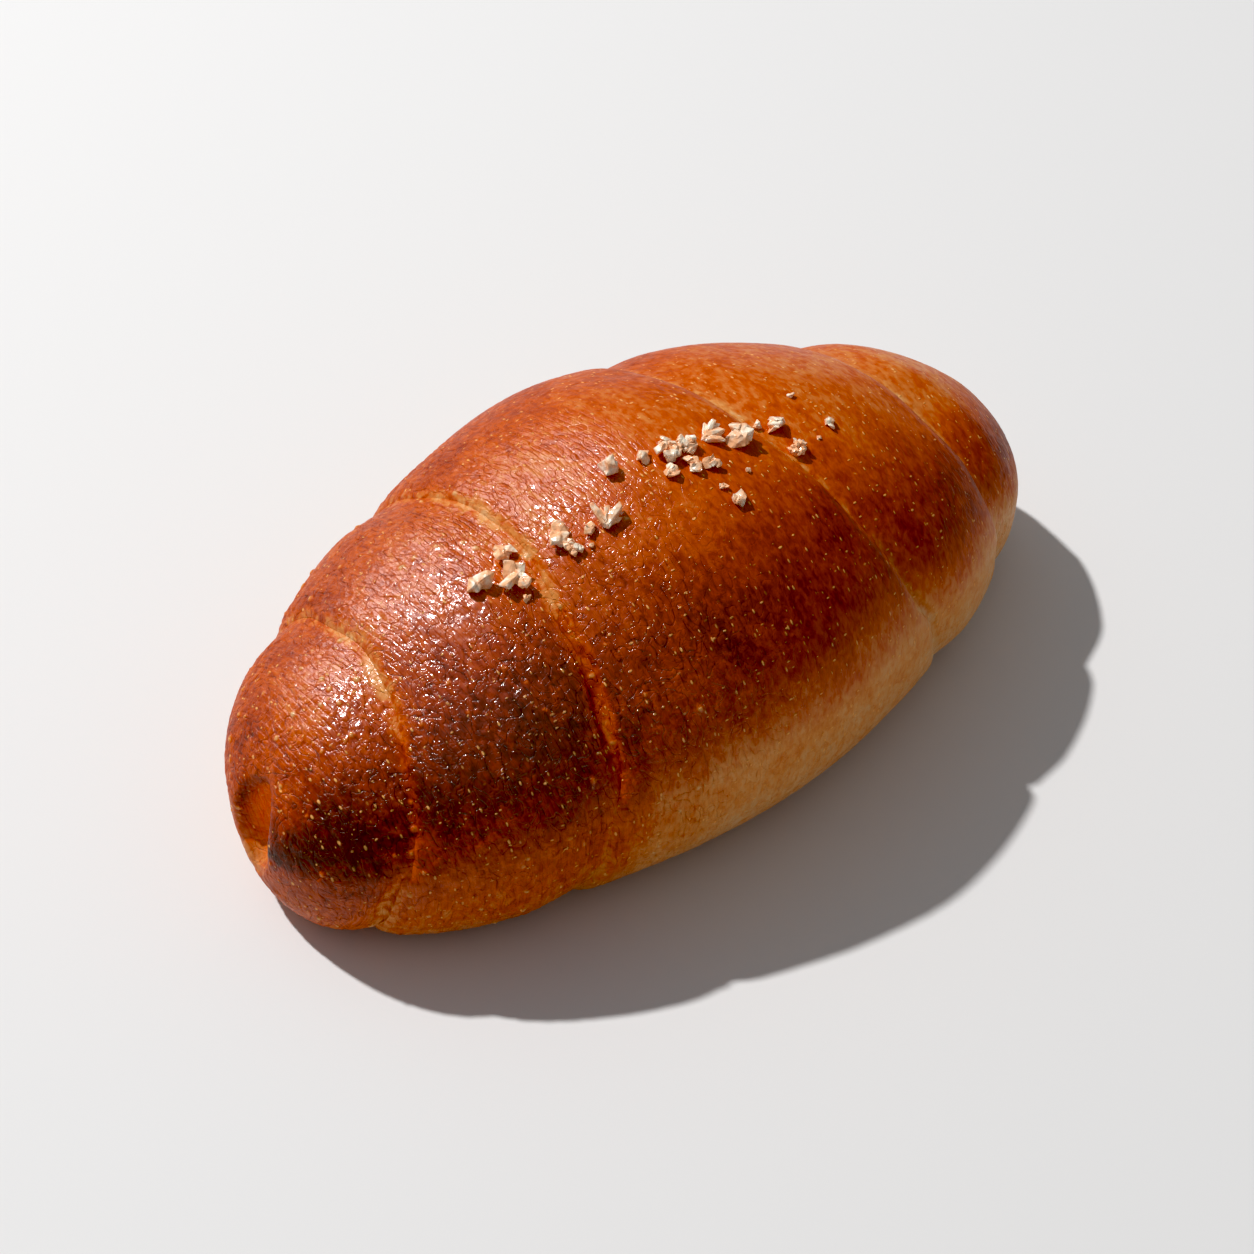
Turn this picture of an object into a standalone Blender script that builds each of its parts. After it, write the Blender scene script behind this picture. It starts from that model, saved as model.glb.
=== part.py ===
"""A rolled salt bread: one tapered strip of dough rolled up from its wide end, so that five bands show,
the middle one outermost, with coarse salt baked on along the ridge. The bread and its grains are one solid.

Frame: +X along the roll, +Z up, the roll lies on Z = 0 with its middle over the origin. The end with the
wide hollow points to -X. An angle round the roll is 0 at +Y, 90 degrees at the top and 180 at -Y.
"""

import math
import random

import bmesh
import bpy
from mathutils import Vector

MM = 0.001

# The loaf without its bands
HALF_LENGTH = 65 * MM
HALF_WIDTH = 35.0 * MM
WIDEST = 23.7 * MM  # the height of its widest level above the tray
RISE = 26.4 * MM  # from there to the top
DEPTH = 28.8 * MM  # from there down, before the tray flattens the base
TOP_ROUND = 1.8  # exponents of the cross-section above and below the widest level, 2 is an ellipse
BASE_ROUND = 2.53
BASE_BLEND = 1.6 * MM  # the soft edge of the flat base
CREST = 0.3  # how broad the top of the long curve is

# Each half: two exponents of its outline from above, two of its outline from the side, the share of the
# widest level's height that is lost at the tip, and how slowly the part below that level thins out
LEFT_TAPER = (1.32, 2.51, 0.95, 2.04, 0.39, 0.48)
RIGHT_TAPER = (1.11, 2.17, 0.96, 2.34, 0.48, 0.55)

# The seams from -X to +X: middle place along X, how far +Y, the top and both sides lie towards +X, and how
# deep the crease is at the top and at the sides
SEAMS = (
    (-49.7 * MM, 4.8 * MM, 4.7 * MM, -1.0 * MM, 1.3 * MM, 1.2 * MM),
    (-27.2 * MM, 1.8 * MM, 5.2 * MM, -1.0 * MM, 1.1 * MM, 0.9 * MM),
    (24.2 * MM, -5.6 * MM, -10.2 * MM, -3.4 * MM, 1.1 * MM, 0.7 * MM),
    (44.5 * MM, -4.1 * MM, -3.0 * MM, -1.5 * MM, 1.6 * MM, 1.2 * MM),
)
UPPER_ON_RIGHT = (True, True, False, False)  # the band nearer the middle lies on top
LIP_WIDTH = 2.4 * MM  # the rounded edge of an upper band
SWELL_WIDTH = 9.0 * MM  # over this a lower band swells up again
PILLOW = 0.6 * MM  # how much a band bulges between its seams
CALM_TIP = 0.5  # below this girth the relief fades out

# The hollow that the rolled core leaves in each end: half width, half height, depth, middle in Y and in Z
LEFT_HOLLOW = (4.1 * MM, 5.4 * MM, 5.5 * MM, 4.3 * MM, 15.6 * MM)
RIGHT_HOLLOW = (3.6 * MM, 4.6 * MM, 4.0 * MM, -2.0 * MM, 16.0 * MM)

# The mesh: segments round the roll, rings of each band, and rings close to a seam
SEGMENTS = 64
BAND_RINGS = (13, 5, 11, 5, 12)
LIP_RINGS = (0.0, 0.1, 0.3, 0.6, 1.0)  # on the upper band, shares of the lip
FOOT_RINGS = (0.0, 0.25, 0.8)  # on the lower band, shares of the lip

# The salt: place along X, angle round the roll in degrees, and width of each grain
SALT = (
    (-30 * MM, 95, 4.2 * MM),
    (-25.5 * MM, 100, 4.3 * MM),
    (-24.5 * MM, 91, 3.0 * MM),
    (-18.5 * MM, 99, 3.6 * MM),
    (-18 * MM, 104, 3.0 * MM),
    (-15 * MM, 102, 2.6 * MM),
    (-12 * MM, 103, 4.3 * MM),
    (-7.5 * MM, 93, 3.9 * MM),
    (-3 * MM, 96, 2.4 * MM),
    (0 * MM, 98, 4.4 * MM),
    (2.5 * MM, 99, 4.2 * MM),
    (-1.5 * MM, 103, 2.6 * MM),
    (1.5 * MM, 104, 2.5 * MM),
    (3.5 * MM, 106, 2.5 * MM),
    (7.5 * MM, 99, 4.4 * MM),
    (10 * MM, 102, 4.6 * MM),
    (3.5 * MM, 116, 2.5 * MM),
    (18 * MM, 102, 3.4 * MM),
    (18 * MM, 110, 3.2 * MM),
    (25 * MM, 108, 2.2 * MM),
)
SALT_SEED = 7
GRAIN_CORNERS = 16
GRAIN_DEPTH = (0.6, 1.0)  # the smallest and largest share of its width
GRAIN_HEIGHT = 0.75
GRAIN_BLOCKY = 0.8  # 0 leaves its corners anywhere in a box, 1 pushes all of them out to the box
GRAIN_TILT = 0.5  # the largest tilt, in radians
GRAIN_STAND = 0.1  # how far its middle stands over the crust, a share of its width

CRUST_COLOUR = (0.42, 0.13, 0.03, 1.0)


def clear_scene():
    for old in list(bpy.data.objects):
        bpy.data.objects.remove(old)


def taper(share, inner, outer):
    """The girth at a share of the half length: 1 in the middle, 0 at the tip, with a rounded crest."""
    run = share * share * (1.0 + CREST) / (abs(share) + CREST)
    return max(1.0 - run**inner, 0.0) ** (1.0 / outer)


def signed_power(value, exponent):
    return math.copysign(abs(value) ** exponent, value)


def settle(height):
    """Flattens what would reach below the tray, with a soft edge."""
    if height >= BASE_BLEND:
        return height
    if height <= -BASE_BLEND:
        return 0.0
    return (height + BASE_BLEND) ** 2 / (4.0 * BASE_BLEND)


def seam_place(seam, angle):
    """Where a seam crosses this angle, along X."""
    middle, back, top, sides = SEAMS[seam][:4]
    return middle + back * math.cos(angle) + top * math.sin(angle) + sides * math.cos(angle) ** 2


def band_ends(band, angle):
    """The X of a band's two ends at this angle: a seam, or the tip of the roll."""
    start = -HALF_LENGTH if band == 0 else seam_place(band - 1, angle)
    end = HALF_LENGTH if band == len(SEAMS) else seam_place(band, angle)
    return start, end


def smooth(share):
    share = min(max(share, 0.0), 1.0)
    return share * share * (3.0 - 2.0 * share)


def edge_relief(seam, is_upper, distance, angle):
    """A band at one of its seams: an upper band rounds down, a lower one swells up from under it."""
    top, side = SEAMS[seam][4:]
    crease = side + (top - side) * max(math.sin(angle), 0.0)
    if is_upper:
        inside = 1.0 - min(max(distance / LIP_WIDTH, 0.0), 1.0)
        return -crease * (1.0 - math.sqrt(1.0 - inside * inside))
    return -crease * (1.0 - smooth(distance / SWELL_WIDTH))


def relief(band, x, angle):
    """How far the crust stands out from the plain loaf."""
    start, end = band_ends(band, angle)
    height = PILLOW * math.sin(math.pi * (x - start) / (end - start))
    if band > 0:
        height += edge_relief(band - 1, UPPER_ON_RIGHT[band - 1], x - start, angle)
    if band < len(SEAMS):
        height += edge_relief(band, not UPPER_ON_RIGHT[band], end - x, angle)
    return height


def hollow_depth(y, z, hollow):
    """How deep an end's hollow is at this place of the end."""
    half_width, half_height, depth, middle_y, middle_z = hollow
    reach = math.hypot((y - middle_y) / half_width, (z - middle_z) / half_height)
    return depth * math.exp(-(reach**3))


def crust_point(band, x, angle):
    """A point of the crust."""
    share = x / HALF_LENGTH
    wide_in, wide_out, tall_in, tall_out, drop, low = LEFT_TAPER if share < 0 else RIGHT_TAPER
    girth = taper(share, wide_in, wide_out)
    level = taper(share, tall_in, tall_out)
    across, up = math.cos(angle), math.sin(angle)
    raised = relief(band, x, angle) * min(1.0, girth / CALM_TIP)
    y = HALF_WIDTH * girth * signed_power(across, 2.0 / (TOP_ROUND if up > 0 else BASE_ROUND))
    z = WIDEST * (1.0 - drop * (1.0 - level))
    if up > 0:
        z += RISE * level * up ** (2.0 / TOP_ROUND)
    else:
        z -= DEPTH * level**low * abs(up) ** (2.0 / BASE_ROUND)
    y += raised * across
    z += raised * up
    if share < 0:
        x += hollow_depth(y, z, LEFT_HOLLOW)
    else:
        x -= hollow_depth(y, z, RIGHT_HOLLOW)
    return Vector((x, y, settle(z)))


def make_rings():
    """The mesh's rings from tip to tip: band, share of its length between the lips, and step along X."""
    rings = []
    last = len(SEAMS)
    for band, count in enumerate(BAND_RINGS):
        if band > 0:
            near = LIP_RINGS if UPPER_ON_RIGHT[band - 1] else FOOT_RINGS
            rings += [(band, 0.0, (share - 1.0) * LIP_WIDTH) for share in near]
        for i in range(1, count + 1):
            share = i / (count + 1)
            if band == 0:
                share = share**3
            elif band == last:
                share = 1.0 - (1.0 - share) ** 3
            rings.append((band, share, 0.0))
        if band < last:
            near = FOOT_RINGS if UPPER_ON_RIGHT[band] else LIP_RINGS
            rings += [(band, 1.0, (1.0 - share) * LIP_WIDTH) for share in reversed(near)]
    return rings


def make_roll():
    """The roll: a sphere whose rings are laid along the bands."""
    rings = make_rings()
    bread = bmesh.new()
    bmesh.ops.create_uvsphere(bread, u_segments=SEGMENTS, v_segments=len(rings) + 1, radius=1.0)
    for vert in bread.verts:
        turn = math.acos(min(max(-vert.co.z, -1.0), 1.0)) / math.pi
        ring = round(turn * (len(rings) + 1))
        angle = math.atan2(vert.co.y, vert.co.x)
        if ring == 0:
            vert.co = crust_point(0, -HALF_LENGTH, angle)
        elif ring > len(rings):
            vert.co = crust_point(len(SEAMS), HALF_LENGTH, angle)
        else:
            band, share, step = rings[ring - 1]
            start, end = band_ends(band, angle)
            if band > 0:
                start += LIP_WIDTH
            if band < len(SEAMS):
                end -= LIP_WIDTH
            vert.co = crust_point(band, start + (end - start) * share + step, angle)
    bmesh.ops.triangulate(bread, faces=bread.faces)
    bmesh.ops.recalc_face_normals(bread, faces=bread.faces)
    mesh = bpy.data.meshes.new("salt_bread_roll")
    bread.to_mesh(mesh)
    bread.free()
    return bpy.data.objects.new("salt_bread_roll", mesh)


def find_band(x, angle):
    return sum(seam_place(seam, angle) < x for seam in range(len(SEAMS)))


def make_grain(draw, x, angle, width):
    """One salt crystal: the hull of random corners, turned at random and sunk into the crust."""
    grain = bmesh.new()
    size = Vector((width, width * draw.uniform(*GRAIN_DEPTH), width * GRAIN_HEIGHT)) / 2
    for _ in range(GRAIN_CORNERS):
        corner = Vector([draw.uniform(-1.0, 1.0) for _ in range(3)])
        corner /= max(abs(value) for value in corner) ** GRAIN_BLOCKY
        grain.verts.new(corner * size)
    hull = bmesh.ops.convex_hull(grain, input=grain.verts)
    bmesh.ops.delete(grain, geom=list(set(hull["geom_interior"])), context="VERTS")
    bmesh.ops.recalc_face_normals(grain, faces=grain.faces)
    mesh = bpy.data.meshes.new("salt_grain")
    grain.to_mesh(mesh)
    grain.free()
    crystal = bpy.data.objects.new("salt_grain", mesh)
    outward = Vector((0.0, math.cos(angle), math.sin(angle)))
    crystal.location = crust_point(find_band(x, angle), x, angle) + outward * GRAIN_STAND * width
    tilt = [draw.uniform(-GRAIN_TILT, GRAIN_TILT) for _ in range(2)]
    crystal.rotation_euler = (*tilt, draw.uniform(0.0, math.tau))
    return crystal


def drop_inner_shells(mesh):
    """Fills a hollow that the grains seal off and drops loose scrap: the largest closed surface stays."""
    solid = bmesh.new()
    solid.from_mesh(mesh)
    shells = []
    unseen = set(solid.verts)
    while unseen:
        shell = set()
        front = [unseen.pop()]
        while front:
            vert = front.pop()
            shell.add(vert)
            near = {edge.other_vert(vert) for edge in vert.link_edges} & unseen
            unseen -= near
            front.extend(near)
        shells.append(shell)
    shells.sort(key=len)
    for shell in shells[:-1]:
        bmesh.ops.delete(solid, geom=list(shell), context="VERTS")
    solid.to_mesh(mesh)
    solid.free()


def fuse(roll, grains):
    """Joins the grains to the roll in one solid, and removes them."""
    union = roll.modifiers.new("salt", "BOOLEAN")
    union.operation = "UNION"
    union.solver = "EXACT"
    union.operand_type = "COLLECTION"
    union.collection = grains
    graph = bpy.context.evaluated_depsgraph_get()
    joined = bpy.data.meshes.new_from_object(roll.evaluated_get(graph))
    roll.modifiers.clear()
    roll.data = joined
    joined.name = "salt_bread_roll"
    for grain in list(grains.objects):
        bpy.data.objects.remove(grain)
    bpy.data.collections.remove(grains)
    drop_inner_shells(joined)


def centre(roll):
    """Puts the middle of the roll's box over the origin, and its base on Z = 0."""
    corners = [vert.co for vert in roll.data.vertices]
    low = Vector([min(corner[axis] for corner in corners) for axis in range(3)])
    high = Vector([max(corner[axis] for corner in corners) for axis in range(3)])
    shift = (low + high) / 2
    shift.z = low.z
    for vert in roll.data.vertices:
        vert.co -= shift


def crust_material():
    """Glossy, egg-washed brown crust."""
    material = bpy.data.materials.new("baked_crust")
    material.use_nodes = True
    shader = material.node_tree.nodes["Principled BSDF"]
    shader.inputs["Base Color"].default_value = CRUST_COLOUR
    shader.inputs["Roughness"].default_value = 0.35
    shader.inputs["Metallic"].default_value = 0.0
    return material


def main():
    clear_scene()
    collection = bpy.data.collections.new("salt_bread_roll")
    grains = bpy.data.collections.new("salt_grains")
    grains.hide_render = True
    bpy.context.scene.collection.children.link(collection)
    bpy.context.scene.collection.children.link(grains)
    roll = make_roll()
    collection.objects.link(roll)
    draw = random.Random(SALT_SEED)
    for x, angle, width in SALT:
        grains.objects.link(make_grain(draw, x, math.radians(angle), width))
    bpy.context.view_layer.update()
    fuse(roll, grains)
    centre(roll)
    roll.data.materials.clear()
    roll.data.materials.append(crust_material())


main()
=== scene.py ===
"""A rolled salt bread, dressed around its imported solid: five overlapping bands of egg-washed dough with a
wrinkled, blistered crust, and coarse salt baked on along the ridge."""

import math
import random
from functools import partial

import bmesh
import bpy
import numpy as np
from mathutils import Euler, Matrix, Vector

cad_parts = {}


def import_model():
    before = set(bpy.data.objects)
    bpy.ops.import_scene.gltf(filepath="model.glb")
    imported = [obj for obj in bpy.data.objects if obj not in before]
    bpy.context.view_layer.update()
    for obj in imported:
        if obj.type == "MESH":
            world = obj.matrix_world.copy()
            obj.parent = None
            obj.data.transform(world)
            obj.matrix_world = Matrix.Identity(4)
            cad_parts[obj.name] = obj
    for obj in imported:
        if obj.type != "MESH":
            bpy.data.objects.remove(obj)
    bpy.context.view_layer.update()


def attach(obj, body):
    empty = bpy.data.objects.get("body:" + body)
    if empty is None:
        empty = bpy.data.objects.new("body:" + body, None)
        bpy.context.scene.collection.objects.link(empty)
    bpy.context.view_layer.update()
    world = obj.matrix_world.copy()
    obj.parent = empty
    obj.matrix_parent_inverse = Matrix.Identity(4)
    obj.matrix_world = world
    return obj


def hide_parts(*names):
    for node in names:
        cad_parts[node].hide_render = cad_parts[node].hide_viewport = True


MM = 0.001

# The loaf without its bands, as in the solid
HALF_LENGTH = 65 * MM
HALF_WIDTH = 35.0 * MM
WIDEST = 23.7 * MM  # the height of its widest level above the tray
RISE = 26.4 * MM
DEPTH = 28.8 * MM
TOP_ROUND = 1.8
BASE_ROUND = 2.53
BASE_BLEND = 1.6 * MM
CREST = 0.3
LEFT_TAPER = (1.32, 2.51, 0.95, 2.04, 0.39, 0.48)
RIGHT_TAPER = (1.11, 2.17, 0.96, 2.34, 0.48, 0.55)
CALM_TIP = 0.5  # below this girth the bands' relief fades out

# The seams from -X to +X: middle place along X, how far +Y, the top and both sides lie towards +X, how deep the
# crease is at the top and at the sides, and the angle and spread where it opens into a crack, in degrees
SEAMS = (
    (-49.7 * MM, 4.8 * MM, 4.7 * MM, -1.0 * MM, 1.3 * MM, 1.2 * MM, 195, 16),
    (-27.2 * MM, 1.8 * MM, 5.2 * MM, -1.0 * MM, 1.1 * MM, 0.9 * MM, 142, 20),
    (24.2 * MM, -5.6 * MM, -10.2 * MM, -3.4 * MM, 1.1 * MM, 0.7 * MM, 162, 26),
    (44.5 * MM, -4.1 * MM, -3.0 * MM, -1.5 * MM, 1.6 * MM, 1.2 * MM, 200, 12),
)
UPPER_ON_RIGHT = (True, True, False, False)
BANDS = ("band_left_end", "band_left", "band_middle", "band_right", "band_right_end")
LIP_WIDTH = 2.4 * MM
LIP_SINK = 0.25 * MM  # how far a lip bites into the band under it, so that no gap shows
CRACK_STEP = 0.6 * MM  # how much higher it stands where a crack is open
CRACK_DEPTH = 0.7 * MM  # how much deeper the lower band lies there
CRACK_WIDTH = 1.3 * MM
LIP_TURN = 0.5 * MM  # how far a lip curls back under itself
LIP_REACH = 2.2 * MM  # how deep it runs in
TUCK = 3.0 * MM  # how far a lower band runs on under the upper one
TUCK_SLOPE = 0.25
SWELL_WIDTH = 9.0 * MM
PILLOW = 0.6 * MM
SEAM_WAVE = 0.25 * MM  # a seam's line isn't ruled

# The hollow in each end: half width, half height, depth, middle in Y and in Z
LEFT_HOLLOW = (3.3 * MM, 5.8 * MM, 5.0 * MM, 3.1 * MM, 15.9 * MM)
RIGHT_HOLLOW = (3.6 * MM, 4.6 * MM, 4.0 * MM, -2.0 * MM, 16.0 * MM)
HOLLOW_EDGE = 3.5  # how sharply it ends

# The mesh of the bands: points round, rings along each band, and how much sparser the hidden underside is
SEGMENTS = 520
RINGS = (150, 80, 150, 70, 150)
LIP_STEPS = 12
UNDERSIDE_SHARE = 0.4

# How brown the crust is, from 0 pale to 1 mahogany, by the sine of the angle round the roll, on its -Y side and
# on its +Y side; the -Y side's deeper belt under the shoulder is partly painted shade
BAKE_UP = (-1.0, -0.6, -0.25, 0.07, 0.25, 0.5, 0.7, 0.84, 0.93, 1.0)
BAKE_AND_SHADE_FRONT = (0.4, 0.22, 0.25, 0.34, 0.52, 0.76, 0.81, 0.73, 0.61, 0.54)
BAKE_BACK = (0.4, 0.22, 0.26, 0.36, 0.5, 0.62, 0.64, 0.59, 0.55, 0.52)
LEFT_BANDS_END = -27 * MM  # left of this the crust is browner, by this much in front, partly as painted shade, and low on the sides
LEFT_BANDS_BLUR = 2.5 * MM
BROWNER_AND_SHADED_IN_FRONT = 0.14
BROWNER_LOW = 0.17
BROWNER_AT_TIP = 0.1
PALER_TO_RIGHT = 0.12

# Beside a seam the dough was covered while it rose, so it is paler: reach on the lower and on the upper band,
# and how much further it goes on the lower one where a crack is open
FRESH_BELOW = 0.9 * MM
FRESH_ABOVE = 0.7 * MM
FRESH_IN_CRACK = 1.3 * MM
FRESH_AT_SIDES = 0.45  # how pale a seam is at the sides, where 1 is its top
FRESH_WIDER_ON_TOP = 0.5

# The crust's colours from pale to mahogany
CRUST_SHADES = (
    (0.0, "#e0b07c"),
    (0.25, "#da8c4a"),
    (0.5, "#c5520a"),
    (0.7, "#9c3203"),
    (0.85, "#6e1e02"),
    (1.0, "#430e01"),
)
# Painted glow inside the end hollows: light shining through the thin crust, drawn as bright orange and a paler
# bake
HOLLOW_GLOW_COLOUR = "#ff7e14"
HOLLOW_BAKE = 0.42
# the specks' colour is partly pale marks and partly painted glints
SPECK_AND_GLINT_COLOUR = "#ffb868"
PALER_AT_SEAM = 0.38
PALER_ON_BLISTER = 0.42

# The crust's patterns, and the heights of those that are only bump
BAKED_PATCH = 19 * MM
MOTTLE = 4 * MM
BROWN_GRAIN = 0.8 * MM  # the browning's own grain is about 0.3 mm: drawn coarser, so that it shows
STRIPE_RAGS = 1.6 * MM  # the gold stripe beside a seam has a ragged edge, and fades in and out
STRIPE_BREAKS = 9 * MM
WASH_LINE = 0.66 * MM  # the wash's wrinkles: long lines this far apart, and two nets of valleys
WASH_NET = 1.9 * MM
WASH_FINE_NET = 1.1 * MM
WASH_DEPTH = 0.075 * MM
WAVE_REPEAT = 0.3  # a wave texture of scale 1 repeats after about this much
DASH_ROUND = 0.68 * MM  # one burst bubble in a cell of this size, drawn out round the roll
DASH_ALONG = 0.8 * MM  # and along it
SPECK_HEIGHT = 0.09 * MM
FLOUR_GRAIN = 0.55 * MM  # flour's grain is under 0.2 mm: drawn coarser, so that it shows
FLOUR_DEPTH = 0.08 * MM
WASH_ROUGHNESS_PATCH = 1.8 * MM

# The salt: place along X, angle round the roll in degrees, width, and kind of each grain
SALT = (
    (-30 * MM, 95, 4.2 * MM, "shard"),
    (-25.5 * MM, 100, 4.3 * MM, "plate"),
    (-24.5 * MM, 91, 3.4 * MM, "plate"),
    (-18.5 * MM, 99, 3.6 * MM, "plate"),
    (-18 * MM, 104, 3.2 * MM, "lump"),
    (-15 * MM, 102, 2.6 * MM, "plate"),
    (-12 * MM, 103, 4.6 * MM, "fan"),
    (-7.5 * MM, 93, 3.9 * MM, "shard"),
    (-3 * MM, 96, 2.4 * MM, "shard"),
    (0 * MM, 98, 4.6 * MM, "lump"),
    (2.5 * MM, 99, 4.2 * MM, "lump"),
    (-1.5 * MM, 103, 2.6 * MM, "plate"),
    (1.5 * MM, 104, 2.8 * MM, "plate"),
    (3.5 * MM, 106, 2.8 * MM, "plate"),
    (7.5 * MM, 99, 4.4 * MM, "fan"),
    (10 * MM, 102, 4.6 * MM, "plate"),
    (3.5 * MM, 116, 2.6 * MM, "shard"),
    (18 * MM, 102, 3.6 * MM, "shard"),
    (18 * MM, 110, 3.4 * MM, "lump"),
    (25 * MM, 108, 2.4 * MM, "shard"),
    (-26 * MM, 106, 1.4 * MM, "shard"),
    (-16 * MM, 106, 0.9 * MM, "shard"),
    (8 * MM, 111, 1.1 * MM, "shard"),
    (3 * MM, 112, 1.3 * MM, "plate"),
    (15.5 * MM, 99, 1.6 * MM, "shard"),
    (22 * MM, 110, 0.9 * MM, "shard"),
    (23.5 * MM, 95, 1.2 * MM, "shard"),
)
SALT_SEED = 7
# What each kind of grain is made of: how many broken crystals, their size, how flat and how narrow each is, how
# far they spread, and how far they fan out in degrees
GRAIN_KINDS = {
    "shard": (3, 0.8, 0.6, 0.8, 0.2, 0),
    "plate": (6, 0.65, 0.45, 0.8, 0.26, 40),
    "lump": (26, 0.3, 0.9, 0.9, 0.36, 0),
    "fan": (6, 0.9, 0.4, 0.3, 0.0, 90),
}
GRAIN_STAND = 0.1  # how far a grain's middle stands above the crust, as a share of its width
CRYSTAL_CORNERS = 14
CRYSTAL_BLOCKY = 0.8
FACET_ANGLE = math.radians(14)  # faces that meet at less than this are one facet
WORN_EDGE = 0.05  # how much of a crystal's length its edges have lost
SALT_PALE = "#fff0d8"
# Painted glow: orange patches stand for the crust's light shining through the crystals
SALT_CRUST_GLOW = "#ffc090"
SALT_GLOW_PATCH = 1.6 * MM
SALT_CHIP = 0.9 * MM
SALT_CHIP_DEPTH = 0.2 * MM
SALT_GRIT = 0.3 * MM  # its frosting is under 0.1 mm: drawn coarser, so that it shows
SALT_GRIT_DEPTH = 0.04 * MM

# The crust's fine relief: named inputs of its geometry nodes
RELIEF = {
    "Lump Size": 22 * MM,
    "Lump Height": 1.2 * MM,
    "Wrinkle Spacing": 2.4 * MM,
    "Wrinkle Depth": 0.13 * MM,
    "Blister Spacing": 2.6 * MM,
    "Blister Height": 0.9 * MM,
    "Seed": 3.0,
}
WRINKLE_STRETCH = 0.55
WRINKLE_SWIRL = 1.2
WRINKLE_PATCH = 14 * MM  # they come and go over this distance
BLISTER_WOBBLE = 1.0 * MM

# The photograph's camera and light
IMAGE_SIDE = 1254
FOCAL_PIXELS = 2904.5
CAMERA_ELEVATION = 46.46  # degrees
CAMERA_YAW = 38.98
CAMERA_DISTANCE = 390 * MM
CAMERA_TARGET = (-10.3 * MM, -8.4 * MM, 27.7 * MM)
SENSOR = 36.0
KEY_DIRECTION = (-0.198, 0.531, 0.824)
KEY_DISTANCE = 1.6
KEY_SIZE = 0.06
KEY_POWER = 24.3
KEY_COLOUR = (1.0, 0.995, 0.99)
WINDOW_DIRECTION = (-0.128, 0.809, 0.574)
WINDOW_DISTANCE = 1.2
WINDOW_SIZE = (0.62, 0.8)
WINDOW_POWER = 7.9
WINDOW_COLOUR = (1.0, 1.0, 1.0)
SKY_COLOUR = (0.94, 0.98, 1.03, 1.0)
SKY_AT_HORIZON = 0.07
SKY_OVERHEAD = 0.28
SKY_FULL_HEIGHT = 0.8
HAZE = (0.009, 0.012, 0.017)  # the surround's faint reflection, taken off as the photograph's blacks are deep
FLOOR_COLOUR = "#e6e5e4"
FLOOR_ROUGHNESS = 0.9
FLOOR_HALF = 2.0

# Node kinds and settings that repeat
MATH, RANGE, NOISE = "ShaderNodeMath", "ShaderNodeMapRange", "ShaderNodeTexNoise"
PLUS, MINUS, TIMES, OVER, LARGER = (
    {"operation": name} for name in ("ADD", "SUBTRACT", "MULTIPLY", "DIVIDE", "MAXIMUM")
)
SMOOTH = {"interpolation_type": "SMOOTHSTEP"}


def linear(colour):
    """An sRGB hex colour as linear RGBA."""
    parts = [int(colour[i : i + 2], 16) / 255 for i in (1, 3, 5)]
    return (*(part / 12.92 if part <= 0.04045 else ((part + 0.055) / 1.055) ** 2.4 for part in parts), 1.0)


def add_node(tree, kind, inputs=(), **settings):
    """Adds a node with its settings, sets or links its inputs, and gives its outputs."""
    node = tree.nodes.new(kind)
    for name, value in settings.items():
        setattr(node, name, value)
    for key, value in dict(inputs).items():
        if isinstance(value, bpy.types.NodeSocket):
            tree.links.new(value, node.inputs[key])
        else:
            node.inputs[key].default_value = value
    return node.outputs


def add_object(name, data):
    """Puts a mesh, lamp or camera in the scene."""
    made = bpy.data.objects.new(name, data)
    bpy.context.scene.collection.objects.link(made)
    return made


def taper(share, inner, outer):
    """How much of its girth the loaf keeps at a share of its half length."""
    run = share * share * (1.0 + CREST) / (np.abs(share) + CREST)
    return np.maximum(1.0 - run**inner, 0.0) ** (1.0 / outer)


def settle(height):
    """Flattens what would lie below the tray, with a rounded edge."""
    blended = (height + BASE_BLEND) ** 2 / (4.0 * BASE_BLEND)
    return np.where(height >= BASE_BLEND, height, np.where(height <= -BASE_BLEND, 0.0, blended))


def seam_place(seam, angle):
    """Where along X a seam runs at each angle round the roll."""
    middle, back, top, sides = SEAMS[seam][:4]
    wave = SEAM_WAVE * (np.sin(5 * angle + seam) + 0.6 * np.sin(11 * angle + 2.3 * seam))
    return middle + back * np.cos(angle) + top * np.sin(angle) + sides * np.cos(angle) ** 2 + wave


def band_ends(band, angle):
    """Where a band starts and ends along X at each angle."""
    start = np.full_like(angle, -HALF_LENGTH) if band == 0 else seam_place(band - 1, angle)
    end = np.full_like(angle, HALF_LENGTH) if band == len(SEAMS) else seam_place(band, angle)
    return start, end


def crease_depth(seam, angle):
    """How deep the crease at a seam is at each angle."""
    top, side = SEAMS[seam][4:6]
    return side + (top - side) * np.maximum(np.sin(angle), 0.0)


def crack_open(seam, angle):
    """How far a seam has opened at each angle, from 0 to 1."""
    crack, spread = SEAMS[seam][6:]
    return np.exp(-(((np.degrees(angle) % 360 - crack) / spread) ** 2))


def lip_depth(seam, angle):
    """How deep an upper band's edge lies: just into its neighbour, or above it where a crack is open."""
    return crease_depth(seam, angle) + LIP_SINK - CRACK_STEP * crack_open(seam, angle)


def edge_relief(seam, is_upper, distance, angle):
    """How far a band lies in near a seam: a round lip on the upper band, a slow dip and a crack on the lower."""
    if is_upper:
        inside = 1.0 - np.clip(distance / LIP_WIDTH, 0.0, 1.0)
        return -lip_depth(seam, angle) * (1.0 - np.sqrt(1.0 - inside * inside))
    share = np.clip(distance / SWELL_WIDTH, 0.0, 1.0)
    crack = CRACK_DEPTH * crack_open(seam, angle) * np.exp(-((np.maximum(distance, 0.0) / CRACK_WIDTH) ** 4))
    return -crease_depth(seam, angle) * (1.0 - share * share * (3.0 - 2.0 * share)) - crack


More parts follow.
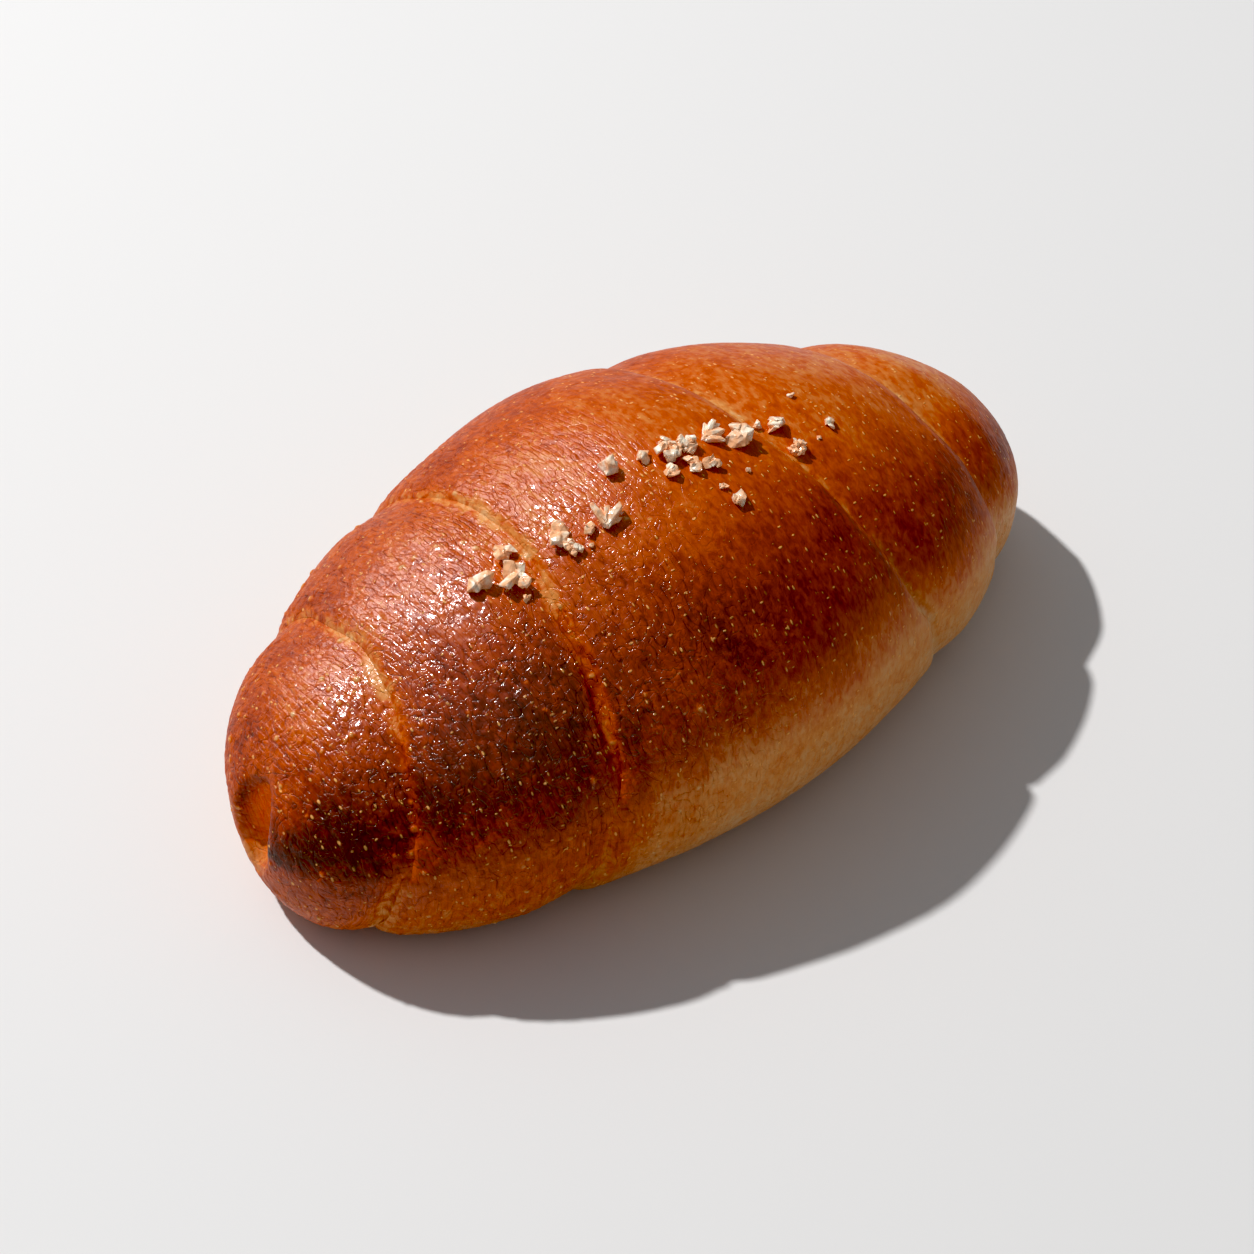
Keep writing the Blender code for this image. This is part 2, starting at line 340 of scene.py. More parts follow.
def relief(band, x, angle):
    """How far a band stands out from the plain loaf."""
    start, end = band_ends(band, angle)
    height = PILLOW * np.sin(np.pi * np.clip((x - start) / (end - start), 0.0, 1.0))
    if band > 0:
        height = height + edge_relief(band - 1, UPPER_ON_RIGHT[band - 1], x - start, angle)
    if band < len(SEAMS):
        height = height + edge_relief(band, not UPPER_ON_RIGHT[band], end - x, angle)
    return height


def hollow_depth(y, z, hollow):
    """How far in an end's hollow goes."""
    half_width, half_height, depth, middle_y, middle_z = hollow
    reach = np.hypot((y - middle_y) / half_width, (z - middle_z) / half_height)
    return depth * np.exp(-(reach**HOLLOW_EDGE))


def place(x, angle, raised):
    """Points of the crust, standing out from the plain loaf by raised."""
    share = x / HALF_LENGTH
    left, right = (
        [taper(share, taper_of[0], taper_of[1]), taper(share, taper_of[2], taper_of[3]), *taper_of[4:]]
        for taper_of in (LEFT_TAPER, RIGHT_TAPER)
    )
    girth, level, drop, low = (np.where(share < 0, a, b) for a, b in zip(left, right))
    across, up = np.cos(angle), np.sin(angle)
    raised = raised * np.minimum(1.0, girth / CALM_TIP)
    roundness = 2.0 / np.where(up > 0, TOP_ROUND, BASE_ROUND)
    y = HALF_WIDTH * girth * np.sign(across) * np.abs(across) ** roundness
    above = RISE * level * np.abs(up) ** roundness
    below = DEPTH * level**low * np.abs(up) ** roundness
    z = WIDEST * (1.0 - drop * (1.0 - level)) + np.where(up > 0, above, -below)
    y = y + raised * across
    z = z + raised * up
    x = x + np.where(share < 0, hollow_depth(y, z, LEFT_HOLLOW), -hollow_depth(y, z, RIGHT_HOLLOW))
    return np.stack([x, y, settle(z)], -1)


def hidden_edge(seam, is_upper, edge, inward, angle):
    """The rings of a band's edge that its neighbour hides, from the crease inwards, as (x, raised)."""
    if is_upper:
        lip = lip_depth(seam, angle)
        shares = (0.08, 0.2, 0.4, 0.7, 1.0)
        return [(edge + inward * LIP_TURN * share**0.5, -lip - LIP_REACH * share) for share in shares]
    depth = crease_depth(seam, angle)
    steps = np.linspace(0, TUCK, 5)[1:]
    rings = [(edge - inward * step, -depth - TUCK_SLOPE * step) for step in steps]
    return rings + [(rings[-1][0], rings[-1][1] - LIP_REACH / 2)]


def even_shares(first, last, count):
    """Shares of the way from first to last that lie evenly along the crust, halfway up its side."""
    fine = np.linspace(0.0, 1.0, 4001) ** 3
    fine = 1.0 - fine[::-1] if last > HALF_LENGTH - LIP_WIDTH else fine
    x = first + (last - first) * fine
    line = place(x, np.full_like(x, math.pi / 4), 0 * x)
    run = np.concatenate([[0.0], np.cumsum(np.linalg.norm(np.diff(line, axis=0), axis=1))])
    return np.interp(np.linspace(0.0, run[-1], count), run, fine)


def shown_rings(band, angle):
    """The rings of a band between its two seams or its tip, close together at a lip."""
    start, end = band_ends(band, angle)
    curl = LIP_WIDTH * (1 - np.sin(np.radians(np.linspace(90, 0, LIP_STEPS, endpoint=False))))
    flat = np.linspace(0, LIP_WIDTH, LIP_STEPS, endpoint=False)
    has_tip, is_last = band == 0, band == len(SEAMS)
    first = start if has_tip else start + LIP_WIDTH
    last = end if is_last else end - LIP_WIDTH
    shares = even_shares(first.mean(), last.mean(), RINGS[band])
    shares = shares[1:] if has_tip else shares[:-1] if is_last else shares
    rings = [first + (last - first) * share for share in shares]
    if not has_tip:
        rings = [start + step for step in (curl if UPPER_ON_RIGHT[band - 1] else flat)] + rings
    if not is_last:
        rings = rings + [end - step for step in (flat if UPPER_ON_RIGHT[band] else curl)[::-1]]
    return rings


def round_angles():
    """The angles round the roll, closer together where the crust is seen than under it."""
    fine = np.linspace(0.0, math.tau, 4001)
    share = np.clip((np.sin(fine) + 0.75) / 0.5, 0.0, 1.0)
    weight = UNDERSIDE_SHARE + (1.0 - UNDERSIDE_SHARE) * share * share * (3.0 - 2.0 * share)
    run = np.concatenate([[0.0], np.cumsum((weight[1:] + weight[:-1]) / 2)])
    return np.interp(np.linspace(0.0, run[-1], SEGMENTS, endpoint=False), run, fine)


def make_band(band):
    """One band of the roll as a closed skin, with a lip where it lies on its neighbour and a tongue under it."""
    angle = round_angles()
    start, end = band_ends(band, angle)
    shown = [(x, relief(band, x, angle)) for x in shown_rings(band, angle)]
    before = [] if band == 0 else hidden_edge(band - 1, UPPER_ON_RIGHT[band - 1], start, 1, angle)
    after = [] if band == len(SEAMS) else hidden_edge(band, not UPPER_ON_RIGHT[band], end, -1, angle)
    rings = before[::-1] + shown + after
    points = np.array([place(x, angle, raised) for x, raised in rings])
    first_cap, last_cap = points[0].mean(0), points[-1].mean(0)
    if band == 0:
        first_cap = place(start[:1], angle[:1], 0 * start[:1])[0]
    if band == len(SEAMS):
        last_cap = place(end[:1], angle[:1], 0 * end[:1])[0]
    count = len(rings)
    index = np.arange(count * SEGMENTS).reshape(count, SEGMENTS)
    turned = np.roll(index, -1, axis=1)
    quads = np.stack([index[:-1], turned[:-1], turned[1:], index[1:]], -1).reshape(-1, 4)
    tip = count * SEGMENTS
    fan_first = np.stack([np.full(SEGMENTS, tip), turned[0], index[0]], -1)
    fan_last = np.stack([np.full(SEGMENTS, tip + 1), index[-1], turned[-1]], -1)
    vertices = np.concatenate([points.reshape(-1, 3), [first_cap, last_cap]])
    mesh = bpy.data.meshes.new(BANDS[band])
    mesh.from_pydata(vertices.tolist(), [], quads.tolist() + fan_first.tolist() + fan_last.tolist())
    mesh.shade_smooth()
    store(mesh, "fresh", freshness(band, rings, angle))
    store(mesh, "bake", browning(band, rings, angle))
    store(mesh, "inside", hollowness(rings, angle))
    return add_object(BANDS[band], mesh)


def beside_seam(seam, is_upper, distance, angle):
    """How pale the crust is at this distance from a seam: most at the top, and in an open crack."""
    top = np.clip(np.sin(angle), 0.0, 1.0)
    is_open = crack_open(seam, angle)
    reach = FRESH_ABOVE if is_upper else FRESH_BELOW + FRESH_IN_CRACK * is_open
    reach = reach * (0.85 + FRESH_WIDER_ON_TOP * top**8)
    shown = np.maximum(FRESH_AT_SIDES + (1.0 - FRESH_AT_SIDES) * top, is_open)
    return shown * np.exp(-((np.maximum(distance, 0.0) / reach) ** 2))


def freshness(band, rings, angle):
    """How pale each ring's crust is for lying next to a seam."""
    start, end = band_ends(band, angle)
    fresh = np.zeros((len(rings), SEGMENTS))
    for i, (x, _) in enumerate(rings):
        if band > 0:
            fresh[i] = beside_seam(band - 1, UPPER_ON_RIGHT[band - 1], x - start, angle)
        if band < len(SEAMS):
            fresh[i] = np.maximum(fresh[i], beside_seam(band, not UPPER_ON_RIGHT[band], end - x, angle))
    return fresh


def browning(band, rings, angle):
    """How brown each ring's crust is: darkest in a belt below the shoulder, deeper on the -Y side as painted
    shade, and browner on the left bands.
    """
    up = np.sin(angle)
    front = np.clip(0.5 - 1.2 * np.cos(angle), 0.0, 1.0)
    low = np.clip((0.45 - up) / 0.4, 0.0, 1.0) * np.clip((up + 0.8) / 0.5, 0.0, 1.0)
    # The -Y side's deeper belt and its extra brown in front are partly painted shade, on the side turned from
    # the lamps
    front_bake_and_shade, behind = np.interp(up, BAKE_UP, BAKE_AND_SHADE_FRONT), np.interp(up, BAKE_UP, BAKE_BACK)
    round_it = np.where(np.cos(angle) < 0, front_bake_and_shade, behind)
    more = BROWNER_AND_SHADED_IN_FRONT * front + BROWNER_LOW * low
    values = []
    for x, _ in rings:
        leftness = 1.0 / (1.0 + np.exp((x - LEFT_BANDS_END) / LEFT_BANDS_BLUR))
        rightness = np.clip((x + 20 * MM) / (70 * MM), 0.0, 1.0)
        tip = np.clip((-54 * MM - x) / (5 * MM), 0.0, 1.0)
        values.append(round_it + leftness * more + BROWNER_AT_TIP * tip - PALER_TO_RIGHT * rightness)
    return np.array(values)


def hollowness(rings, angle):
    """How far inside a hollow each ring's crust lies, where it is paler and painted with an orange glow."""
    values = []
    for x, raised in rings:
        y, z = place(x, angle, raised)[:, 1:].T
        inside = [hollow_depth(y, z, hollow) / hollow[2] for hollow in (LEFT_HOLLOW, RIGHT_HOLLOW)]
        ends = np.clip((np.abs(x) - 50 * MM) / (8 * MM), 0.0, 1.0)
        values.append(ends * np.where(x < 0, *inside))
    return np.array(values)


def store(mesh, name, values):
    """Keeps a value on each point of a band, and the first one again on its two end points."""
    attribute = mesh.attributes.new(name, "FLOAT", "POINT")
    whole = np.concatenate([values.reshape(-1), values[0, :1], values[-1, :1]])
    attribute.data.foreach_set("value", whole.astype(np.float32))


def crust_relief_tree():
    """Geometry nodes that push a band's skin in and out: slow lumps, a net of wrinkles and small blisters."""
    tree = bpy.data.node_groups.new("crust_relief", "GeometryNodeTree")
    face = tree.interface
    face.new_socket("Geometry", in_out="INPUT", socket_type="NodeSocketGeometry")
    for name in RELIEF:
        face.new_socket(name, in_out="INPUT", socket_type="NodeSocketFloat")
    face.new_socket("Material", in_out="INPUT", socket_type="NodeSocketMaterial")
    face.new_socket("Geometry", in_out="OUTPUT", socket_type="NodeSocketGeometry")
    add = partial(add_node, tree)
    given = add("NodeGroupInput")
    where = add("GeometryNodeInputPosition")[0]
    along = add("ShaderNodeSeparateXYZ", {0: where})
    beside = add("GeometryNodeInputNamedAttribute", {"Name": "fresh"})[0]
    # Wrinkles run round the roll more than along it
    stretched = add("ShaderNodeVectorMath", {0: where, 1: (1.0, WRINKLE_STRETCH, WRINKLE_STRETCH)}, **TIMES)[0]

    def pattern(at, spacing, detail=0.0, swirl=0.0):
        """An uneven pattern with spots about this far apart, less its middle."""
        scale = add(MATH, {0: 1.0, 1: spacing}, **OVER)[0]
        wanted = {"Vector": at, "W": given["Seed"], "Scale": scale, "Detail": detail, "Distortion": swirl}
        spots = add(NOISE, wanted, noise_dimensions="4D")["Fac"]
        return add(MATH, {0: spots, 1: 0.5}, **MINUS)[0]

    def valleys(at, spacing, width, depth):
        """Valleys where the pattern crosses its middle, so that they wander and meet."""
        crossing = add(MATH, {0: pattern(at, spacing, 0.0, WRINKLE_SWIRL)}, operation="ABSOLUTE")[0]
        return add(RANGE, {0: crossing, 1: 0.0, 2: width, 3: -depth, 4: 0.0}, **SMOOTH)[0]

    lumps = add(MATH, {0: pattern(where, given["Lump Size"], 1.0), 1: given["Lump Height"]}, **TIMES)[0]

    closer = add(MATH, {0: given["Wrinkle Spacing"], 1: 0.65}, **TIMES)[0]
    wide = valleys(stretched, given["Wrinkle Spacing"], 0.12, 1.0)
    wrinkles = add(MATH, {0: wide, 1: valleys(where, closer, 0.16, 0.6)}, **PLUS)[0]
    # They are deepest on the left bands and in patches, and calm beside a seam
    for value, low, high, at_low, at_high in (
        (along["X"], -25 * MM, 15 * MM, 1.0, 0.3),
        (pattern(where, WRINKLE_PATCH, 1.0), -0.15, 0.1, 0.45, 1.0),
        (beside, 0.2, 0.9, 1.0, 0.5),
    ):
        share = add(RANGE, {0: value, 1: low, 2: high, 3: at_low, 4: at_high}, **SMOOTH)[0]
        wrinkles = add(MATH, {0: wrinkles, 1: share}, **TIMES)[0]
    wrinkles = add(MATH, {0: wrinkles, 1: given["Wrinkle Depth"]}, **TIMES)[0]

    # Blisters are domes on random cells, more of them and larger on the left bands and beside a seam
    scale = add(MATH, {0: 1.0, 1: given["Blister Spacing"]}, **OVER)[0]
    cells = add("ShaderNodeTexVoronoi", {"Vector": where, "Scale": scale})
    chance = add("ShaderNodeSeparateXYZ", {0: cells["Color"]})
    rarity = add(RANGE, {0: along["X"], 1: -40 * MM, 2: 5 * MM, 3: 0.2, 4: 0.9}, **SMOOTH)[0]
    more = add(MATH, {0: beside, 1: 0.4}, **TIMES)[0]
    rarity = add(MATH, {0: rarity, 1: more}, **MINUS)[0]
    radius = add(MATH, {0: chance["X"], 1: rarity}, **MINUS)[0]
    radius = add(MATH, {0: radius, 1: 0.0001}, **LARGER)[0]
    radius = add(MATH, {0: radius}, operation="SQRT")[0]
    radius = add(MATH, {0: radius, 1: 0.27}, **TIMES)[0]
    wobble = add(MATH, {0: pattern(where, BLISTER_WOBBLE), 1: 0.16}, **TIMES)[0]
    reach = add(MATH, {0: cells["Distance"], 1: wobble}, **PLUS)[0]
    reach = add(MATH, {0: reach, 1: radius}, **OVER)[0]
    dome = add(RANGE, {0: reach, 1: 0.35, 2: 1.0, 3: 1.0, 4: 0.0}, **SMOOTH)[0]
    is_there = add(MATH, {0: radius, 1: 0.03}, operation="GREATER_THAN")[0]
    dome = add(MATH, {0: dome, 1: is_there}, **TIMES)[0]
    taller = add(MATH, {0: radius, 1: 0.05}, **PLUS)[0]
    blisters = add(MATH, {0: dome, 1: given["Blister Height"]}, **TIMES)[0]
    blisters = add(MATH, {0: blisters, 1: taller}, **TIMES)[0]

    height = add(MATH, {0: lumps, 1: wrinkles}, **PLUS)[0]
    height = add(MATH, {0: height, 1: blisters}, **PLUS)[0]
    off_tray = add(RANGE, {0: along["Z"], 1: 0.3 * MM, 2: 4 * MM}, **SMOOTH)[0]
    height = add(MATH, {0: height, 1: off_tray}, **TIMES)[0]
    normal = add("GeometryNodeInputNormal")[0]
    offset = add("ShaderNodeVectorMath", {0: normal, "Scale": height}, operation="SCALE")[0]
    wanted = {"Geometry": given["Geometry"], "Name": "blister", "Value": dome}
    kept = add("GeometryNodeStoreNamedAttribute", wanted)[0]
    moved = add("GeometryNodeSetPosition", {"Geometry": kept, "Offset": offset})[0]
    real = add("GeometryNodeRealizeInstances", {"Geometry": moved})[0]
    dressed = add("GeometryNodeSetMaterial", {"Geometry": real, "Material": given["Material"]})[0]
    add("NodeGroupOutput", {0: dressed})
    return tree


def bake_tree(piece, tree, values):
    """Runs a geometry node tree on a piece and keeps the result as its plain mesh."""
    modifier = piece.modifiers.new(tree.name, "NODES")
    modifier.node_group = tree
    for item in tree.interface.items_tree:
        if item.in_out == "INPUT" and item.name in values:
            modifier[item.identifier] = values[item.name]
    bpy.context.view_layer.update()
    graph = bpy.context.evaluated_depsgraph_get()
    mesh = bpy.data.meshes.new_from_object(piece.evaluated_get(graph), depsgraph=graph)
    piece.modifiers.clear()
    mesh.name = piece.name
    piece.data = mesh
    mesh.shade_smooth()


def crust_material():
    """Egg-washed wheat dough, baked: the wash dries to a thin wrinkled gloss over a brown crust, darkest in a
    belt under the shoulder and deeper on the -Y side as painted shade, gold beside the seams and tan near the
    tray, with pale specks of burst bubbles and painted glints, painted shade in the wrinkles' valleys and a
    painted orange glow inside the end hollows."""
    material = bpy.data.materials.new("egg_washed_crust")
    material.use_nodes = True
    tree = material.node_tree
    shader = tree.nodes["Principled BSDF"].inputs
    add = partial(add_node, tree)
    where = add("ShaderNodeTexCoord")["Object"]
    side = add("ShaderNodeSeparateXYZ", {0: where})
    fresh, blister, inside, bake = (
        add("ShaderNodeAttribute", attribute_name=name)["Fac"] for name in ("fresh", "blister", "inside", "bake")
    )
    streaks, round_roll, along_roll = (
        add("ShaderNodeVectorMath", {0: where, 1: stretch}, **TIMES)[0]
        for stretch in ((1.0, WRINKLE_STRETCH, WRINKLE_STRETCH), (1.0, 0.45, 0.45), (0.5, 1.0, 1.0))
    )

    # The wash dries in wrinkles: long wandering lines, broken by two nets of valleys
    wanted = {"Vector": where, "Scale": WAVE_REPEAT / WASH_LINE, "Distortion": 12.0, "Detail": 1.0}
    lines = add("ShaderNodeTexWave", {**wanted, "Detail Scale": 0.2}, bands_direction="X")["Fac"]
    net = add(RANGE, {0: lines, 1: 0.0, 2: 0.4, 4: 0.5}, **SMOOTH)[0]
    for at, spacing, width, depth in ((streaks, WASH_NET, 0.06, 1.0), (where, WASH_FINE_NET, 0.08, 0.45)):
        crossing = add(NOISE, {"Vector": at, "Scale": 1.0 / spacing, "Detail": 0.0, "Distortion": 1.0})["Fac"]
        crossing = add(MATH, {0: crossing, 1: 0.5}, **MINUS)[0]
        crossing = add(MATH, {0: crossing}, operation="ABSOLUTE")[0]
        valleys = add(RANGE, {0: crossing, 1: 0.0, 2: width, 4: depth}, **SMOOTH)[0]
        net = add(MATH, {0: net, 1: valleys}, **PLUS)[0]
    # They show on the left bands and low on the sides, less beside a seam; their valleys get painted shade and
    # their ridges are painted a little lighter
    leftness = add(RANGE, {0: side["X"], 1: -22 * MM, 2: 8 * MM, 3: 1.0, 4: 0.12}, **SMOOTH)[0]
    lowness = add(RANGE, {0: side["Z"], 1: 12 * MM, 2: 30 * MM, 3: 0.8, 4: 0.0}, **SMOOTH)[0]
    calmer = add(RANGE, {0: fresh, 1: 0.3, 2: 0.9, 3: 1.0, 4: 0.7}, **SMOOTH)[0]
    wrinkled = add(MATH, {0: leftness, 1: lowness}, **LARGER)[0]
    wrinkled = add(MATH, {0: wrinkled, 1: calmer}, **TIMES)[0]
    valley_shade = add(RANGE, {0: net, 1: 0.2, 2: 1.4, 3: 0.1, 4: -0.04}, **SMOOTH)[0]
    valley_shade = add(MATH, {0: valley_shade, 1: wrinkled}, **TIMES)[0]
    net = add(MATH, {0: net, 1: wrinkled}, **TIMES)[0]

    # Baked in soft patches of 2 cm, mottled at 4 mm and grainy under 1 mm
    for at, spacing, detail, swirl, low, high, amount in (
        (where, BAKED_PATCH, 2.0, 0.0, 0.3, 0.7, 0.03),
        (streaks, MOTTLE, 3.0, 0.6, 0.3, 0.7, 0.055),
        (streaks, BROWN_GRAIN, 2.0, 0.5, 0.25, 0.75, 0.09),
    ):
        wanted = {"Vector": at, "Scale": 1.0 / spacing, "Detail": detail, "Distortion": swirl}
        spots = add(NOISE, wanted)["Fac"]
        spots = add(RANGE, {0: spots, 1: low, 2: high, 3: -amount, 4: amount}, **SMOOTH)[0]
        bake = add(MATH, {0: bake, 1: spots}, **PLUS)[0]
    # painted shade in the wrinkles' valleys, painted light on their ridges
    bake = add(MATH, {0: bake, 1: valley_shade}, **PLUS)[0]
    # Gold beside the seams, in a ragged stripe, and on the blisters
    stripe = fresh
    for spacing, detail, low, high, least in (
        (STRIPE_RAGS, 3.0, 0.38, 0.58, 0.2),
        (STRIPE_BREAKS, 2.0, 0.35, 0.6, 0.45),
    ):
        ragged = add(NOISE, {"Vector": where, "Scale": 1.0 / spacing, "Detail": detail})["Fac"]
        ragged = add(RANGE, {0: ragged, 1: low, 2: high, 3: least}, **SMOOTH)[0]
        stripe = add(MATH, {0: stripe, 1: ragged}, **TIMES)[0]
    for paler, amount in ((stripe, PALER_AT_SEAM), (blister, PALER_ON_BLISTER)):
        paler = add(MATH, {0: paler, 1: amount}, **TIMES)[0]
        bake = add(MATH, {0: bake, 1: paler}, **MINUS)[0]
    # Inside a hollow the crust is paler, partly as less baked crust and partly as painted glow
    hollow_pale_and_glow = add(RANGE, {0: inside, 1: 0.25, 2: 0.7}, **SMOOTH)[0]
    bake = add("ShaderNodeMix", {0: hollow_pale_and_glow, 2: bake, 3: HOLLOW_BAKE})[0]
    colour = add("ShaderNodeValToRGB", {0: bake})[0]
    shades = colour.node.color_ramp.elements
    while len(shades) < len(CRUST_SHADES):
        shades.new(0.5)
    for shade, (brown, hex_colour) in zip(shades, CRUST_SHADES):
        shade.position = brown
        shade.color = linear(hex_colour)
    # Painted glow: bright orange inside the hollows for light shining through the thin crust
    hollow_glow = add(RANGE, {0: inside, 1: 0.2, 2: 0.8, 4: 0.75}, **SMOOTH)[0]
    colour = add("ShaderNodeMix", {0: hollow_glow, 6: colour, 7: linear(HOLLOW_GLOW_COLOUR)}, data_type="RGBA")[2]

    # Burst bubbles of 0.2 to 0.4 mm, drawn as short pale dashes and dots: partly pale marks, partly painted
    # glints
    speck_and_glint = 0.0
    for at, spacing, thickness in ((round_roll, DASH_ROUND, 0.25), (along_roll, DASH_ALONG, 0.22)):
        cells = add("ShaderNodeTexVoronoi", {"Vector": at, "Scale": 1.0 / spacing})
        chance = add("ShaderNodeSeparateXYZ", {0: cells["Color"]})
        size = add(RANGE, {0: chance["X"], 1: 0.3, 3: 0.4 * thickness, 4: thickness}, **SMOOTH)[0]
        reach = add(MATH, {0: cells["Distance"], 1: size}, **OVER)[0]
        mark = add(RANGE, {0: reach, 1: 0.5, 2: 1.2, 3: 1.0, 4: 0.0}, **SMOOTH)[0]
        is_there = add(RANGE, {0: chance["Y"], 1: 0.3, 2: 0.7}, **SMOOTH)[0]
        mark = add(MATH, {0: mark, 1: is_there}, **TIMES)[0]
        speck_and_glint = add(MATH, {0: mark, 1: speck_and_glint}, **LARGER)[0]
    # the specks' pale colour is partly painted glints
    paler = add(MATH, {0: speck_and_glint, 1: 0.8}, **TIMES)[0]
    colour = add("ShaderNodeMix", {0: paler, 6: colour, 7: linear(SPECK_AND_GLINT_COLOUR)}, data_type="RGBA")[2]

    # The wash lies thickest and glossiest on the crests of the left bands
    wash = 1.0
    for value, low, high, at_low, at_high in (
        (side["X"], -50 * MM, 20 * MM, 1.0, 0.1),
        (side["Z"], 22 * MM, 38 * MM, 0.12, 1.0),
        (side["Y"], 4 * MM, 22 * MM, 1.0, 0.12),
        (fresh, 0.1, 0.8, 1.0, 0.25),
    ):
        share = add(RANGE, {0: value, 1: low, 2: high, 3: at_low, 4: at_high}, **SMOOTH)[0]
        wash = add(MATH, {0: share, 1: wash}, **TIMES)[0]
    rough = add(NOISE, {"Vector": where, "Scale": 1.0 / WASH_ROUGHNESS_PATCH})["Fac"]
    rough = add(RANGE, {0: rough, 1: 0.3, 2: 0.7, 3: 0.36, 4: 0.5}, **SMOOTH)[0]

    wanted = {"Vector": streaks, "Scale": 1.0 / FLOUR_GRAIN, "Detail": 1.0, "Distortion": 0.4}
    grain = add(NOISE, wanted)["Fac"]
    coarser = add(RANGE, {0: side["X"], 1: -30 * MM, 2: 15 * MM, 3: 0.2}, **SMOOTH)[0]
    grain = add(MATH, {0: grain, 1: coarser}, **TIMES)[0]
    bump = {}
    for height, depth in ((net, WASH_DEPTH), (grain, FLOUR_DEPTH), (speck_and_glint, SPECK_HEIGHT)):
        bump["Normal"] = add("ShaderNodeBump", {"Height": height, "Distance": depth, **bump})[0]

    linked = {"Base Color": colour, "Roughness": rough, "Coat Weight": wash, "Coat Normal": bump["Normal"]}
    for name, value in {**linked, **bump}.items():
        tree.links.new(value, shader[name])
    shader["IOR"].default_value = 1.45
    shader["Specular IOR Level"].default_value = 0.13
    shader["Coat Roughness"].default_value = 0.14
    shader["Coat IOR"].default_value = 1.62
    return material


def salt_material():
    """Coarse salt, broken crystals: cloudy inside and frosted outside, in patches painted orange as a glow of
    the crust's light shining through.
    """
    material = bpy.data.materials.new("coarse_salt_crystal")
    material.use_nodes = True
    tree = material.node_tree
    shader = tree.nodes["Principled BSDF"].inputs
    add = partial(add_node, tree)
    where = add("ShaderNodeTexCoord")["Object"]
    # Painted glow: patches of orange for the crust's light shining through the grains
    crust_glow = add(NOISE, {"Vector": where, "Scale": 1.0 / SALT_GLOW_PATCH})["Fac"]
    crust_glow = add(RANGE, {0: crust_glow, 1: 0.35, 2: 0.55})[0]
    wanted = {0: crust_glow, 6: linear(SALT_PALE), 7: linear(SALT_CRUST_GLOW)}
    colour = add("ShaderNodeMix", wanted, data_type="RGBA")[2]
    chips = add("ShaderNodeTexVoronoi", {"Vector": where, "Scale": 1.0 / SALT_CHIP})["Distance"]
    grit = add(NOISE, {"Vector": where, "Scale": 1.0 / SALT_GRIT})["Fac"]
    bump = {}
    for height, depth in ((chips, SALT_CHIP_DEPTH), (grit, SALT_GRIT_DEPTH)):
        bump["Normal"] = add("ShaderNodeBump", {"Height": height, "Distance": depth, **bump})[0]
    for name, value in {"Base Color": colour, **bump}.items():
        tree.links.new(value, shader[name])
    shader["Roughness"].default_value = 0.15
    shader["IOR"].default_value = 1.54
    return material


def hull(draw, size, corners, blocky):
    """The hull of random corners, facing outward: on a box of this size if blocky is 1, inside it if it is 0."""
    solid = bmesh.new()
    for _ in range(corners):
        corner = Vector([draw.uniform(-1.0, 1.0) for _ in range(3)])
        corner /= max(abs(value) for value in corner) ** blocky
        solid.verts.new(corner * Vector(size) / 2)
    made = bmesh.ops.convex_hull(solid, input=solid.verts)
    bmesh.ops.delete(solid, geom=list(set(made["geom_interior"])), context="VERTS")
    bmesh.ops.dissolve_limit(solid, angle_limit=FACET_ANGLE, verts=solid.verts, edges=solid.edges)
    worn = {"offset": WORN_EDGE * size[0], "segments": 1, "affect": "EDGES", "clamp_overlap": True}
    bmesh.ops.bevel(solid, geom=solid.edges[:], **worn)
    bmesh.ops.recalc_face_normals(solid, faces=solid.faces)
    return solid


def make_grain(draw, kind, width, frame):
    """The broken crystals of one grain, in place."""
    count, size, flat, narrow, spread, fan = GRAIN_KINDS[kind]
    parts = []
    for i in range(count):
        length = width * size * draw.uniform(0.75, 1.1)
        solid = hull(draw, (length, length * narrow, length * flat), CRYSTAL_CORNERS, CRYSTAL_BLOCKY)
        if kind == "fan":
            solid.transform(Matrix.Translation((length * 0.4, 0.0, 0.0)))
            round_fan = math.radians(fan * (i / (count - 1) - 0.5))
            turn = Euler((draw.uniform(-0.2, 0.2), draw.uniform(-0.35, 0.0), round_fan))
            shift = Vector((-width * 0.35, 0.0, 0.0))
        elif kind == "plate":
            turn = Euler((draw.uniform(-0.7, 0.7), draw.uniform(-0.7, 0.7), math.radians(fan * i)))
            shift = Vector((draw.uniform(-spread, spread), draw.uniform(-spread, spread), 0.1)) * width
        else:
            turn = Euler([draw.uniform(0.0, math.tau) for _ in range(3)])
            away = draw.uniform(0.0, math.tau)
            shift = Vector((math.cos(away), 0.7 * math.sin(away), 0.0)) * spread * width
            shift = shift * draw.uniform(0.0, 1.0) ** 0.5
            shift.z = draw.uniform(-0.1, 0.35) * spread * width * 1.5
        solid.transform(frame @ Matrix.Translation(shift) @ turn.to_matrix().to_4x4())
        parts.append(solid)
    return parts


